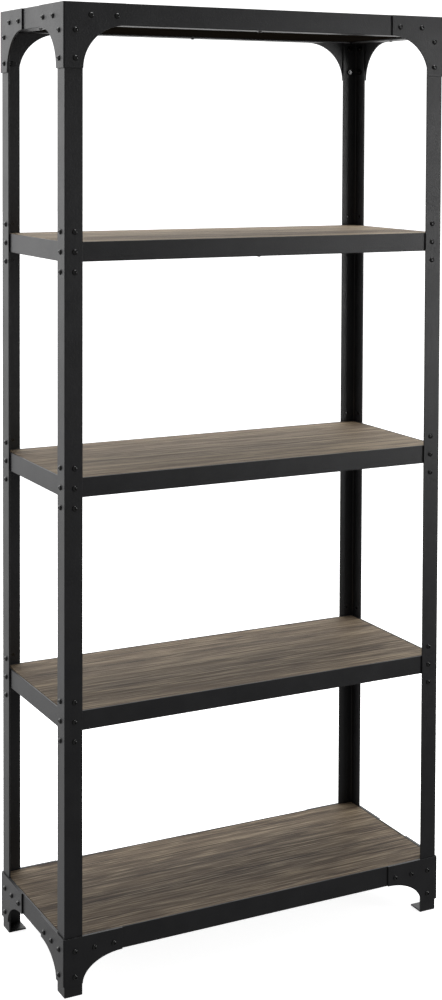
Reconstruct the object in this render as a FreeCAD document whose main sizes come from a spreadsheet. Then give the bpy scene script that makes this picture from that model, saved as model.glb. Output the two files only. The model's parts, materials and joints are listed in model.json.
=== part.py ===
"""Open bookcase: a bolted frame of black angle steel with five solid-wood boards.

Millimetres.  Origin at the middle of the footprint on the floor, X to the right, Y to the back, Z up.
Everything is drawn for the front-left corner or the front and left sides and mirrored from there.
"""
import FreeCAD
import Part
import os

doc = FreeCAD.newDocument("bookcase")

# ---- driving dimensions -------------------------------------------------------------------------
sheet = doc.addObject("Spreadsheet::Sheet", "dims")
DIMENSIONS = [
    ("width", 800.0),  # across the outer faces of the posts
    ("depth", 330.0),
    ("height", 1800.0),
    ("steel", 3.0),  # wall of every angle and plate
    ("post_leg", 35.0),  # width of each flange of a corner post
    ("end_rail_height", 40.0),  # rails of the top and base frames
    ("shelf_rail_height", 36.0),  # rails of the three adjustable frames
    ("shelf_ledge", 33.0),  # ledge under an adjustable board
    ("base_level", 109.0),  # upper face of the base board
    ("level_two", 1372.0),  # upper faces of the adjustable boards, as shipped
    ("level_three", 947.0),
    ("level_four", 522.0),
    ("slide_gap", 0.3),  # play between an adjustable frame and the posts
    ("board_gap", 1.0),  # play round a board in its frame
    ("hole_pitch", 36.0),  # step between the three heights of an adjustable frame
    ("bolt_line", 20.0),  # from the post's outer corner to its line of holes
    ("bolt_radius", 3.0),
    ("hole_radius", 3.25),
    ("head_radius", 5.25),
    ("head_crown_radius", 3.5),
    ("head_height", 3.3),
    ("socket_radius", 2.3),
    ("socket_depth", 1.9),
    ("nut_radius", 5.77),  # across corners, half
    ("nut_height", 5.0),
    ("bolt_tail", 2.0),  # thread showing past a nut
    ("pocket_radius", 7.5),  # nut pocket in the edge of a board
    ("pocket_depth", 8.5),
    ("top_leg", 118.0),  # length of each arm of an upper gusset
    ("top_row_drop", 23.0),  # bolt row below the top edge
    ("top_row_near", 50.0),
    ("top_row_far", 100.0),
    ("base_leg", 113.0),
    ("base_tip", 22.0),  # lower end of a base gusset above the floor
    ("base_row_drop", 25.0),
    ("base_row_near", 58.0),
    ("base_row_far", 96.0),
    ("base_post_bolt", 37.0),
    ("foot_thickness", 3.0),
    ("screw_radius", 2.0),
    ("screw_length", 18.0),
    ("screw_head_radius", 4.0),
    ("screw_head_height", 2.2),
    ("screw_bore_radius", 2.1),
]
for row, (alias, value) in enumerate(DIMENSIONS, start=1):
    sheet.set(f"A{row}", alias)
    sheet.set(f"B{row}", f"={value}")
    sheet.setAlias(f"B{row}", alias)
doc.recompute()


# ---- building blocks ----------------------------------------------------------------------------
def bind(obj, **expressions):
    for prop, text in expressions.items():
        obj.setExpression(prop, text)


def place(obj, x, y, z, axis=None, angle=0.0):
    if axis is not None:
        obj.Placement = FreeCAD.Placement(FreeCAD.Vector(), FreeCAD.Rotation(FreeCAD.Vector(*axis), angle))
    obj.setExpression("Placement.Base.x", x)
    obj.setExpression("Placement.Base.y", y)
    obj.setExpression("Placement.Base.z", z)
    return obj


def box(name, x, y, z, length, width, height):
    obj = doc.addObject("Part::Box", name)
    bind(obj, Length=length, Width=width, Height=height)
    return place(obj, x, y, z)


# Directions in which a fastener is driven: into the front, the left side, or up from below.
DRIVE = {
    "back": ((1, 0, 0), -90.0),
    "right": ((0, 1, 0), 90.0),
    "up": ((0, 0, 1), 0.0),
}


def cylinder(name, x, y, z, radius, height, drive):
    obj = doc.addObject("Part::Cylinder", name)
    bind(obj, Radius=radius, Height=height)
    axis, angle = DRIVE[drive]
    return place(obj, x, y, z, axis, angle)


def prism(name, x, y, z, radius, height, drive):
    obj = doc.addObject("Part::Prism", name)
    obj.Polygon = 6
    bind(obj, Circumradius=radius, Height=height)
    axis, angle = DRIVE[drive]
    return place(obj, x, y, z, axis, angle)


def cone(name, x, y, z, radius_start, radius_end, height, drive):
    obj = doc.addObject("Part::Cone", name)
    bind(obj, Radius1=radius_start, Radius2=radius_end, Height=height)
    axis, angle = DRIVE[drive]
    return place(obj, x, y, z, axis, angle)


def fuse(name, parts):
    obj = doc.addObject("Part::MultiFuse", name)
    obj.Shapes = parts
    obj.Refine = True
    return obj


def gather(name, parts):
    obj = doc.addObject("Part::Compound", name)
    obj.Links = parts
    return obj


def cut(name, base, tools):
    obj = doc.addObject("Part::Cut", name)
    obj.Base = base
    obj.Tool = tools[0] if len(tools) == 1 else gather(name + "_cutters", tools)
    obj.Refine = True
    return obj


MIRROR_NORMALS = {"x": (1, 0, 0), "y": (0, 1, 0)}


def mirror(name, source, axis):
    obj = doc.addObject("Part::Mirroring", name)
    obj.Source = source
    obj.Base = FreeCAD.Vector(0, 0, 0)
    obj.Normal = FreeCAD.Vector(*MIRROR_NORMALS[axis])
    return obj


nodes = []


def node(obj, label):
    obj.Label = label
    nodes.append(obj)
    return obj


def node_at_corners(source, stem):
    """The front-left piece and its three mirrored partners."""
    node(source, stem + "_front_left")
    right = node(mirror(stem + "_fr", source, "x"), stem + "_front_right")
    node(mirror(stem + "_bl", source, "y"), stem + "_back_left")
    node(mirror(stem + "_br", right, "y"), stem + "_back_right")


def all_corners(name, source_parts):
    """One compound holding the front-left pieces and their copies at the other three corners."""
    front_left = gather(name + "_set", source_parts)
    front_right = mirror(name + "_set_x", front_left, "x")
    front = gather(name + "_front", [front_left, front_right])
    back = mirror(name + "_back", front, "y")
    return gather(name, [front, back])


# Outer corner, inner faces and half sizes used by every piece.
LEFT = "-dims.width / 2"
FRONT = "-dims.depth / 2"
TOP = "dims.height"


# A place for a fastener: the face it enters, its distance from the post's corner and its height.
def hole(name, face, offset, height, radius, start, length):
    """A cylinder through one face, starting `start` outside the post's outer plane."""
    if face == "front":
        return cylinder(name, f"{LEFT} + {offset}", f"{FRONT} - ({start})", height, radius, length, "back")
    return cylinder(name, f"{LEFT} - ({start})", f"{FRONT} + {offset}", height, radius, length, "right")


def button_bolt(name, face, offset, height, seat, shank):
    """Button-head bolt with a hex socket; the head's underside stands `seat` outside the post."""
    crown_at = f"{seat} + dims.head_height"
    if face == "front":
        across = f"{LEFT} + {offset}"
        head = cone(name + "_head", across, f"{FRONT} - ({crown_at})", height,
                    "dims.head_crown_radius", "dims.head_radius", "dims.head_height", "back")
        socket = prism(name + "_socket", across, f"{FRONT} - ({crown_at})", height,
                       "dims.socket_radius", "dims.socket_depth", "back")
    else:
        across = f"{FRONT} + {offset}"
        head = cone(name + "_head", f"{LEFT} - ({crown_at})", across, height,
                    "dims.head_crown_radius", "dims.head_radius", "dims.head_height", "right")
        socket = prism(name + "_socket", f"{LEFT} - ({crown_at})", across, height,
                       "dims.socket_radius", "dims.socket_depth", "right")
    stem = hole(name + "_shank", face, offset, height, "dims.bolt_radius", seat, shank)
    return cut(name, fuse(name + "_solid", [head, stem]), [socket])


def hex_nut(name, face, offset, height, seat, bore):
    """Nut whose bearing face lies `seat` inside the post's outer plane."""
    if face == "front":
        body = prism(name + "_hex", f"{LEFT} + {offset}", f"{FRONT} + {seat}", height,
                     "dims.nut_radius", "dims.nut_height", "back")
    else:
        body = prism(name + "_hex", f"{LEFT} + {seat}", f"{FRONT} + {offset}", height,
                     "dims.nut_radius", "dims.nut_height", "right")
    return cut(name, body, [hole(name + "_bore", face, offset, height, bore, f"-({seat})", "dims.nut_height")])


FACES = ("front", "left")
LEVELS = [
    ("shelf_two", "dims.level_two"),
    ("shelf_three", "dims.level_three"),
    ("shelf_four", "dims.level_four"),
]


def rail_middle(level):
    return f"{level} - dims.shelf_rail_height / 2"


# Bolt places on each face of a corner: name, distance from the corner, height.
TOP_ROW = f"{TOP} - dims.top_row_drop"
BASE_ROW = "dims.base_level - dims.base_row_drop"
TOP_RAIL_PLACES = [("near", "dims.top_row_near", TOP_ROW), ("far", "dims.top_row_far", TOP_ROW)]
TOP_POST_PLACES = [
    ("upper", "dims.bolt_line", f"{TOP} - dims.top_row_near"),
    ("lower", "dims.bolt_line", f"{TOP} - dims.top_row_far"),
]
BASE_RAIL_PLACES = [("near", "dims.base_row_near", BASE_ROW), ("far", "dims.base_row_far", BASE_ROW)]
BASE_POST_PLACES = [
    ("upper", "dims.bolt_line", BASE_ROW),
    ("lower", "dims.bolt_line", "dims.base_post_bolt"),
]

# ---- corner posts -------------------------------------------------------------------------------
post_front = box("post_front_flange", LEFT, FRONT, "0", "dims.post_leg", "dims.steel", TOP)
post_side = box("post_side_flange", LEFT, FRONT, "0", "dims.steel", "dims.post_leg", TOP)
post_holes = []
for face in FACES:
    places = [("top_" + tag, offset, z) for tag, offset, z in TOP_POST_PLACES]
    places += [("base_" + tag, offset, z) for tag, offset, z in BASE_POST_PLACES]
    for level_name, level in LEVELS:
        for step in (-1, 0, 1):
            z = f"{rail_middle(level)} + ({step}) * dims.hole_pitch"
            places.append((f"{level_name}_{step + 1}", "dims.bolt_line", z))
    for tag, offset, z in places:
        post_holes.append(hole(f"post_hole_{face}_{tag}", face, offset, z, "dims.hole_radius", "1",
                               "dims.steel + 2"))
post = cut("post", fuse("post_angle", [post_front, post_side]), post_holes)
node_at_corners(post, "post")

# ---- foot plates, one welded inside the lower end of each post ----------------------------------
foot = box("foot", f"{LEFT} + dims.steel", f"{FRONT} + dims.steel", "0",
           "dims.post_leg - dims.steel", "dims.post_leg - dims.steel", "dims.foot_thickness")
node_at_corners(foot, "foot_plate")


# ---- top and base frames: rails cut square between the posts, outer faces flush with them --------
def end_rails(stem, top_face, places):
    under = f"{top_face} - dims.end_rail_height"
    span_x = "dims.width - 2 * dims.post_leg"
    span_y = "dims.depth - 2 * dims.post_leg"
    front_x = f"{LEFT} + dims.post_leg"
    left_y = f"{FRONT} + dims.post_leg"
    front_web = box(stem + "_front_web", front_x, FRONT, under, span_x, "dims.steel", "dims.end_rail_height")
    front_ledge = box(stem + "_front_ledge", front_x, FRONT, under, span_x, "dims.post_leg", "dims.steel")
    left_web = box(stem + "_left_web", LEFT, left_y, under, "dims.steel", span_y, "dims.end_rail_height")
    left_ledge = box(stem + "_left_ledge", LEFT, left_y, under, "dims.post_leg", span_y, "dims.steel")
    drills = {}
    for face, other in (("front", "x"), ("left", "y")):
        near = [hole(f"{stem}_{face}_hole_{tag}", face, offset, z, "dims.hole_radius", "1", "dims.steel + 2")
                for tag, offset, z in places]
        near_set = gather(f"{stem}_{face}_holes", near)
        drills[face] = [near_set, mirror(f"{stem}_{face}_holes_far", near_set, other)]
    drills["front"].append(cylinder(stem + "_front_screw_hole", "0", f"{FRONT} + dims.post_leg / 2",
                                    f"{under} - 1", "dims.screw_bore_radius", "dims.steel + 2", "up"))
    drills["left"].append(cylinder(stem + "_left_screw_hole", f"{LEFT} + dims.post_leg / 2", "0",
                                   f"{under} - 1", "dims.screw_bore_radius", "dims.steel + 2", "up"))
    front = cut(stem + "_front_rail", fuse(stem + "_front_angle", [front_web, front_ledge]), drills["front"])
    left = cut(stem + "_left_rail", fuse(stem + "_left_angle", [left_web, left_ledge]), drills["left"])
    node(front, stem + "_rail_front")
    node(mirror(stem + "_back_rail", front, "y"), stem + "_rail_back")
    node(left, stem + "_rail_left")
    node(mirror(stem + "_right_rail", left, "x"), stem + "_rail_right")


end_rails("top", TOP, TOP_RAIL_PLACES)
end_rails("base", "dims.base_level", BASE_RAIL_PLACES)


# ---- adjustable frames: outer faces slide just inside the posts ----------------------------------
def shelf_rails(stem, level):
    under = f"{level} - dims.shelf_rail_height"
    inset = "(dims.steel + dims.slide_gap)"
    span_x = f"dims.width - 2 * {inset}"
    span_y = f"dims.depth - 2 * {inset}"
    front_web = box(stem + "_front_web", f"{LEFT} + {inset}", f"{FRONT} + {inset}", under,
                    span_x, "dims.steel", "dims.shelf_rail_height")
    front_ledge = box(stem + "_front_ledge", f"{LEFT} + {inset}", f"{FRONT} + {inset}", under,
                      span_x, "dims.shelf_ledge", "dims.steel")
    left_web = box(stem + "_left_web", f"{LEFT} + {inset}", f"{FRONT} + {inset}", under,
                   "dims.steel", span_y, "dims.shelf_rail_height")
    left_ledge = box(stem + "_left_ledge", f"{LEFT} + {inset}", f"{FRONT} + {inset}", under,
                     "dims.shelf_ledge", span_y, "dims.steel")
    # The four rails are welded with mitred corners.
    mitres = {}
    for face, turn in (("front", 45.0), ("left", -45.0)):
        mitres[face] = box(f"{stem}_{face}_mitre", f"{LEFT} + {inset}", f"{FRONT} + {inset}", f"{under} - 1",
                           "2 * dims.post_leg", "2 * dims.post_leg", "dims.shelf_rail_height + 2")
        mitres[face].Placement.Rotation = FreeCAD.Rotation(FreeCAD.Vector(0, 0, 1), turn)
    drills = {}
    for face, other in (("front", "x"), ("left", "y")):
        near = hole(f"{stem}_{face}_hole", face, "dims.bolt_line", rail_middle(level),
                    "dims.hole_radius", "0", "3 * dims.steel")
        drills[face] = [near, mirror(f"{stem}_{face}_hole_far", near, other),
                        mitres[face], mirror(f"{stem}_{face}_mitre_far", mitres[face], other)]
    drills["front"].append(cylinder(stem + "_front_screw_hole", "0", f"{FRONT} + dims.post_leg / 2",
                                    f"{under} - 1", "dims.screw_bore_radius", "dims.steel + 2", "up"))
    drills["left"].append(cylinder(stem + "_left_screw_hole", f"{LEFT} + dims.post_leg / 2", "0",
                                   f"{under} - 1", "dims.screw_bore_radius", "dims.steel + 2", "up"))
    front = cut(stem + "_front_rail", fuse(stem + "_front_angle", [front_web, front_ledge]), drills["front"])
    left = cut(stem + "_left_rail", fuse(stem + "_left_angle", [left_web, left_ledge]), drills["left"])
    node(front, stem + "_rail_front")
    node(mirror(stem + "_back_rail", front, "y"), stem + "_rail_back")
    node(left, stem + "_rail_left")
    node(mirror(stem + "_right_rail", left, "x"), stem + "_rail_right")


for level_name, level in LEVELS:
    shelf_rails(level_name, level)


# ---- boards --------------------------------------------------------------------------------------
def board(stem, top_face, rail_height, inset, pocket_places):
    """A thick board lying on the ledges, flush with the rails, with pockets for the nuts in its edges."""
    margin = f"({inset} + dims.board_gap)"
    under = f"{top_face} - {rail_height} + dims.steel"
    plank = box(stem + "_plank", f"{LEFT} + {margin}", f"{FRONT} + {margin}", under,
                f"dims.width - 2 * {margin}", f"dims.depth - 2 * {margin}", f"{rail_height} - dims.steel")
    pockets = []
    for face in FACES:
        for tag, offset, z in pocket_places:
            pockets.append(hole(f"{stem}_pocket_{face}_{tag}", face, offset, z, "dims.pocket_radius",
                                f"1 - {margin}", "dims.pocket_depth + 1"))
    front_bore = cylinder(stem + "_bore_front", "0", f"{FRONT} + dims.post_leg / 2", f"{under} - 1",
                          "dims.screw_bore_radius", "dims.screw_length + 1", "up")
    left_bore = cylinder(stem + "_bore_left", f"{LEFT} + dims.post_leg / 2", "0", f"{under} - 1",
                         "dims.screw_bore_radius", "dims.screw_length + 1", "up")
    bores = [front_bore, mirror(stem + "_bore_back", front_bore, "y"),
             left_bore, mirror(stem + "_bore_right", left_bore, "x")]
    corner_pockets = all_corners(stem + "_pockets", pockets)
    node(cut(stem + "_drilled", plank, [corner_pockets] + bores), stem + "_board")


INNER = "dims.steel"
SHELF_INNER = "(2 * dims.steel + dims.slide_gap)"
board("top", TOP, "dims.end_rail_height", INNER, TOP_RAIL_PLACES)
board("base", "dims.base_level", "dims.end_rail_height", INNER, BASE_RAIL_PLACES + BASE_POST_PLACES[:1])
for level_name, level in LEVELS:
    board(level_name, level, "dims.shelf_rail_height", SHELF_INNER,
          [("bolt", "dims.bolt_line", rail_middle(level))])


# ---- board screws, driven up through the middle of each ledge ------------------------------------
def board_screw(name, x, y, ledge_under):
    head = cone(name + "_head", x, y, f"{ledge_under} - dims.screw_head_height",
                "dims.screw_head_radius * 0.7", "dims.screw_head_radius", "dims.screw_head_height", "up")
    shank = cylinder(name + "_shank", x, y, ledge_under, "dims.screw_radius", "dims.screw_length", "up")
    return fuse(name, [head, shank])


def board_screws(stem, top_face, rail_height):
    under = f"{top_face} - {rail_height}"
    front = board_screw(stem + "_screw_front", "0", f"{FRONT} + dims.post_leg / 2", under)
    left = board_screw(stem + "_screw_left", f"{LEFT} + dims.post_leg / 2", "0", under)
    back = mirror(stem + "_screw_back", front, "y")
    right = mirror(stem + "_screw_right", left, "x")
    node(gather(stem + "_screw_set", [front, back, left, right]), stem + "_board_screws")


board_screws("top", TOP, "dims.end_rail_height")
board_screws("base", "dims.base_level", "dims.end_rail_height")
for level_name, level in LEVELS:
    board_screws(level_name, level, "dims.shelf_rail_height")


# ---- corner gussets: bent plates wrapped round the outside of each corner ------------------------
def gusset(stem, top_face, foot_face, leg, arm_height, places):
    """Two plates and the rounded bend between them; each plate has a concave quarter-round cut-out."""
    tall = f"({top_face} - ({foot_face}))"
    front_plate = box(stem + "_front_plate", LEFT, f"{FRONT} - dims.steel", foot_face, leg, "dims.steel", tall)
    side_plate = box(stem + "_side_plate", f"{LEFT} - dims.steel", FRONT, foot_face, "dims.steel", leg, tall)
    bend = doc.addObject("Part::Cylinder", stem + "_bend")
    bend.Angle = 90.0
    bind(bend, Radius="dims.steel", Height=tall)
    place(bend, LEFT, FRONT, foot_face, (0, 0, 1), 180.0)
    half_span = f"({leg} - dims.post_leg)"
    half_rise = f"({tall} - {arm_height})"
    scoops = []
    for face, axis, angle in (("front", (1, 0, 0), -90.0), ("left", (1, 1, 1), 120.0)):
        oval = doc.addObject("Part::Ellipse", f"{stem}_{face}_oval")
        bind(oval, MajorRadius=half_span, MinorRadius=half_rise)
        if face == "front":
            place(oval, f"{LEFT} + {leg}", f"{FRONT} - dims.steel - 1", foot_face, axis, angle)
        else:
            place(oval, f"{LEFT} - dims.steel - 1", f"{FRONT} + {leg}", foot_face, axis, angle)
        scoop = doc.addObject("Part::Extrusion", f"{stem}_{face}_scoop")
        scoop.Base = oval
        scoop.DirMode = "Custom"
        scoop.Dir = FreeCAD.Vector(0, 1, 0) if face == "front" else FreeCAD.Vector(1, 0, 0)
        scoop.Solid = True
        bind(scoop, LengthFwd="dims.steel + 2")
        scoops.append(scoop)
    drills = []
    for face in FACES:
        for tag, offset, z in places:
            drills.append(hole(f"{stem}_hole_{face}_{tag}", face, offset, z, "dims.hole_radius",
                               "dims.steel + 1", "dims.steel + 2"))
    plate = cut(stem + "_plate", fuse(stem + "_blank", [front_plate, side_plate, bend]), scoops + drills)
    node_at_corners(plate, stem)


def tagged(prefix, places):
    return [(prefix + tag, offset, z) for tag, offset, z in places]


TOP_PLACES = tagged("rail_", TOP_RAIL_PLACES) + tagged("post_", TOP_POST_PLACES)
BASE_PLACES = tagged("rail_", BASE_RAIL_PLACES) + tagged("post_", BASE_POST_PLACES)
gusset("top_gusset", TOP, f"{TOP} - dims.top_leg", "dims.top_leg", "dims.end_rail_height", TOP_PLACES)
gusset("base_gusset", "dims.base_level", "dims.base_tip", "dims.base_leg", "dims.end_rail_height", BASE_PLACES)


# ---- gusset bolts and nuts -----------------------------------------------------------------------
def gusset_fasteners(stem, places):
    bolts = []
    nuts = []
    for face in FACES:
        for tag, offset, z in places:
            name = f"{stem}_{face}_{tag}"
            bolts.append(button_bolt(name + "_bolt", face, offset, z, "dims.steel",
                                     "2 * dims.steel + dims.nut_height + dims.bolt_tail"))
            nuts.append(hex_nut(name + "_nut", face, offset, z, "dims.steel", "dims.bolt_radius"))
    node(all_corners(stem + "_bolt_set", bolts), stem + "_gusset_bolts")
    node(all_corners(stem + "_nut_set", nuts), stem + "_gusset_nuts")


gusset_fasteners("top", TOP_PLACES)
gusset_fasteners("base", BASE_PLACES)

# ---- shelf fasteners -----------------------------------------------------------------------------
# Three bolt heads per flange: the middle one holds the frame, the outer two close the spare holes.
# Each shelf also carries the threaded ends of its own bolts with their nuts, inside the rail.
for level_name, level in LEVELS:
    heads = []
    ends = []
    for face in FACES:
        for step in (-1, 0, 1):
            z = f"{rail_middle(level)} + ({step}) * dims.hole_pitch"
            heads.append(button_bolt(f"{level_name}_{face}_bolt_{step + 1}", face, "dims.bolt_line", z,
                                     "0", "dims.steel"))
        seat = "(2 * dims.steel + dims.slide_gap)"
        outer = "(dims.steel + dims.slide_gap)"
        z = rail_middle(level)
        end = hole(f"{level_name}_{face}_bolt_end", face, "dims.bolt_line", z, "dims.bolt_radius",
                   f"-{outer}", "dims.steel + dims.nut_height + dims.bolt_tail")
        nut = hex_nut(f"{level_name}_{face}_nut", face, "dims.bolt_line", z, seat, "dims.bolt_radius")
        ends.append(fuse(f"{level_name}_{face}_fastener", [end, nut]))
    node(all_corners(level_name + "_head_set", heads), level_name + "_post_bolts")
    node(all_corners(level_name + "_end_set", ends), level_name + "_nuts")

# ---- check and export ----------------------------------------------------------------------------
doc.recompute()
for obj in doc.Objects:
    if "Invalid" in obj.State or "Error" in obj.State:
        raise RuntimeError(f"{obj.Name} did not compute: {obj.State}")
    shape = getattr(obj, "Shape", None)
    if shape is not None and (shape.isNull() or not shape.isValid()):
        raise RuntimeError(f"{obj.Name} has a bad shape")
os.makedirs("parts", exist_ok=True)
for obj in nodes:
    if not obj.Shape.Solids:
        raise RuntimeError(f"{obj.Label} has no solid")
    obj.Shape.exportStep(f"parts/{obj.Label}.step")
    print(f"{obj.Label}: {len(obj.Shape.Solids)} solid(s), {obj.Shape.Volume:.0f} mm3")
print(f"{len(nodes)} nodes")
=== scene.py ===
"""Open bookcase: black powder-coated angle steel bolted together, with thick weathered wooden boards."""
import json
import math

import bmesh
import bpy
from mathutils import Matrix, Vector

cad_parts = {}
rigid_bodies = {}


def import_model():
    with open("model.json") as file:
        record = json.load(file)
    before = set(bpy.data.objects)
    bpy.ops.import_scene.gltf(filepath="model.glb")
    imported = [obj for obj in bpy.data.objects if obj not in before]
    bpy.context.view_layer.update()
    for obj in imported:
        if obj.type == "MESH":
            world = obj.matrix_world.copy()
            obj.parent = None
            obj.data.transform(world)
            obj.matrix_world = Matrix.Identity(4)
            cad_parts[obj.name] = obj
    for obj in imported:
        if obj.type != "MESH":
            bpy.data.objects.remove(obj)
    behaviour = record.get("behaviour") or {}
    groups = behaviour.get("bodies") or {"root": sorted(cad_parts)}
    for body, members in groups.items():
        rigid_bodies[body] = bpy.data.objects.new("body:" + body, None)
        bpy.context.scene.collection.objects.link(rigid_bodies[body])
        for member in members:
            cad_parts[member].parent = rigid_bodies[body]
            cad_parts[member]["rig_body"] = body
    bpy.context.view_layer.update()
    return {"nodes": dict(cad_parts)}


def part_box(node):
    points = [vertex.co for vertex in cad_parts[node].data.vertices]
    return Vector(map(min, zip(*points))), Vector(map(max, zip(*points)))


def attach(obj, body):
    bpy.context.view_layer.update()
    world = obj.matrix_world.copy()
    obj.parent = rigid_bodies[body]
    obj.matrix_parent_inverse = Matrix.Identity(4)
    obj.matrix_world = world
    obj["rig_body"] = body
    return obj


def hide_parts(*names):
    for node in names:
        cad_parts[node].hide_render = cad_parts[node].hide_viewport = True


bl_info = {
    "name": "Steel and wood bookcase",
    "version": (1, 0, 0),
    "blender": (4, 5, 0),
    "location": "3D View > Sidebar > Bookcase",
    "description": "Finishes an angle-steel bookcase with adjustable shelves over its packed frame",
    "category": "Object",
}

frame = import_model()

CORNERS = {
    "front_left": (-1, -1),
    "front_right": (1, -1),
    "back_left": (-1, 1),
    "back_right": (1, 1),
}
SHELVES = ("shelf_two", "shelf_three", "shelf_four")
LEVELS = ("top", *SHELVES, "base")
POST_LOW, POST_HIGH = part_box("post_front_left")
HALF_WIDTH = -POST_LOW.x
HALF_DEPTH = -POST_LOW.y
POST_LEG = POST_HIGH.x - POST_LOW.x
SIDES = ("front", "back", "left", "right")
QUARTER_TURN = math.pi / 2
MATH = "ShaderNodeMath"


def linear(hex_colour):
    """sRGB hex to a linear RGB triple."""
    channels = [int(hex_colour[i:i + 2], 16) / 255 for i in (0, 2, 4)]
    return tuple(c / 12.92 if c <= 0.04045 else ((c + 0.055) / 1.055) ** 2.4 for c in channels)


# ---- settings ------------------------------------------------------------------------------------
class SteelSettings(bpy.types.PropertyGroup):
    wall: bpy.props.FloatProperty(
        name="Wall", description="Thickness of every angle and plate", default=0.003, unit="LENGTH")
    heel_radius: bpy.props.FloatProperty(
        name="Heel radius", description="Rounding of the outer corner of an angle",
        default=0.0012, unit="LENGTH")
    root_radius: bpy.props.FloatProperty(
        name="Root radius", description="Rounding inside the corner of an angle",
        default=0.002, unit="LENGTH")
    edge_radius: bpy.props.FloatProperty(
        name="Edge radius", description="Softening of cut steel edges by the coat",
        default=0.0005, unit="LENGTH")
    coat: bpy.props.FloatVectorProperty(
        name="Coat", description="Colour of the powder coat", subtype="COLOR", default=linear("242426"))
    coat_worn: bpy.props.FloatVectorProperty(
        name="Thin coat", description="Colour where the coat is thin or dusty", subtype="COLOR",
        default=linear("303032"))


class WoodSettings(bpy.types.PropertyGroup):
    stave_width: bpy.props.FloatProperty(
        name="Stave width", description="Width of the glued staves in a board", default=0.0815, unit="LENGTH")
    arris: bpy.props.FloatProperty(
        name="Arris", description="Rounding of the board's edges", default=0.0012, unit="LENGTH")
    pore: bpy.props.FloatVectorProperty(
        name="Pores", description="Dark brushed-out early wood", subtype="COLOR", default=linear("40342a"))
    body: bpy.props.FloatVectorProperty(
        name="Body", description="Main grey-brown of the wood", subtype="COLOR", default=linear("6d5e4c"))
    bleached: bpy.props.FloatVectorProperty(
        name="Bleached", description="Weathered light streaks", subtype="COLOR", default=linear("a6967d"))


class FastenerSettings(bpy.types.PropertyGroup):
    head_radius: bpy.props.FloatProperty(
        name="Head radius", description="Radius of a button head", default=0.00525, unit="LENGTH")
    head_height: bpy.props.FloatProperty(
        name="Head height", description="Height of a button head", default=0.0033, unit="LENGTH")
    socket_radius: bpy.props.FloatProperty(
        name="Socket radius", description="Half the socket across its corners", default=0.0023, unit="LENGTH")
    shank_radius: bpy.props.FloatProperty(
        name="Shank radius", description="Radius of a bolt's shank", default=0.003, unit="LENGTH")
    nut_radius: bpy.props.FloatProperty(
        name="Nut radius", description="Half a nut across its corners", default=0.00577, unit="LENGTH")
    nut_height: bpy.props.FloatProperty(
        name="Nut height", description="Thickness of a nut", default=0.005, unit="LENGTH")
    screw_radius: bpy.props.FloatProperty(
        name="Screw head radius", description="Radius of a board screw's head", default=0.004, unit="LENGTH")
    screw_height: bpy.props.FloatProperty(
        name="Screw head height", description="Height of a board screw's head", default=0.0022, unit="LENGTH")


class StageSettings(bpy.types.PropertyGroup):
    floor: bpy.props.FloatVectorProperty(
        name="Floor", description="Colour of the studio floor", subtype="COLOR", default=linear("f4f4f4"))
    wall: bpy.props.FloatProperty(
        name="Walls", description="Brightness of the studio walls behind the bookcase", default=1.2)
    room: bpy.props.FloatProperty(
        name="Room", description="Brightness of the room in front of the bookcase", default=0.17)
    side_power: bpy.props.FloatProperty(
        name="Side light", description="Power of the tall softbox behind on the left",
        default=5.0, unit="POWER")
    top_power: bpy.props.FloatProperty(
        name="Top light", description="Power of the overhead softbox", default=150.0, unit="POWER")
    front_power: bpy.props.FloatProperty(
        name="Front light", description="Power of the tall softbox at the front right",
        default=32.0, unit="POWER")


# ---- materials -----------------------------------------------------------------------------------
def add_node(tree, kind, settings=None, inputs=None):
    """Add a node, set its properties, and set or link its inputs, by name or in order.

    A node given as an input stands for its first output.
    """
    made = tree.nodes.new(kind)
    for key, value in (settings or {}).items():
        setattr(made, key, value)
    pairs = inputs.items() if isinstance(inputs, dict) else enumerate(inputs or ())
    for key, value in pairs:
        socket = made.inputs[key]
        if isinstance(value, bpy.types.Node):
            value = value.outputs[0]
        if isinstance(value, bpy.types.NodeSocket):
            tree.links.new(value, socket)
        else:
            socket.default_value = value
    return made


def new_material(name):
    material = bpy.data.materials.new(name)
    material.use_nodes = True
    material.node_tree.nodes.clear()
    return material, material.node_tree


def finish_material(tree, shader):
    """Send the shader to the material's surface."""
    add_node(tree, "ShaderNodeOutputMaterial", inputs={"Surface": shader})


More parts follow.
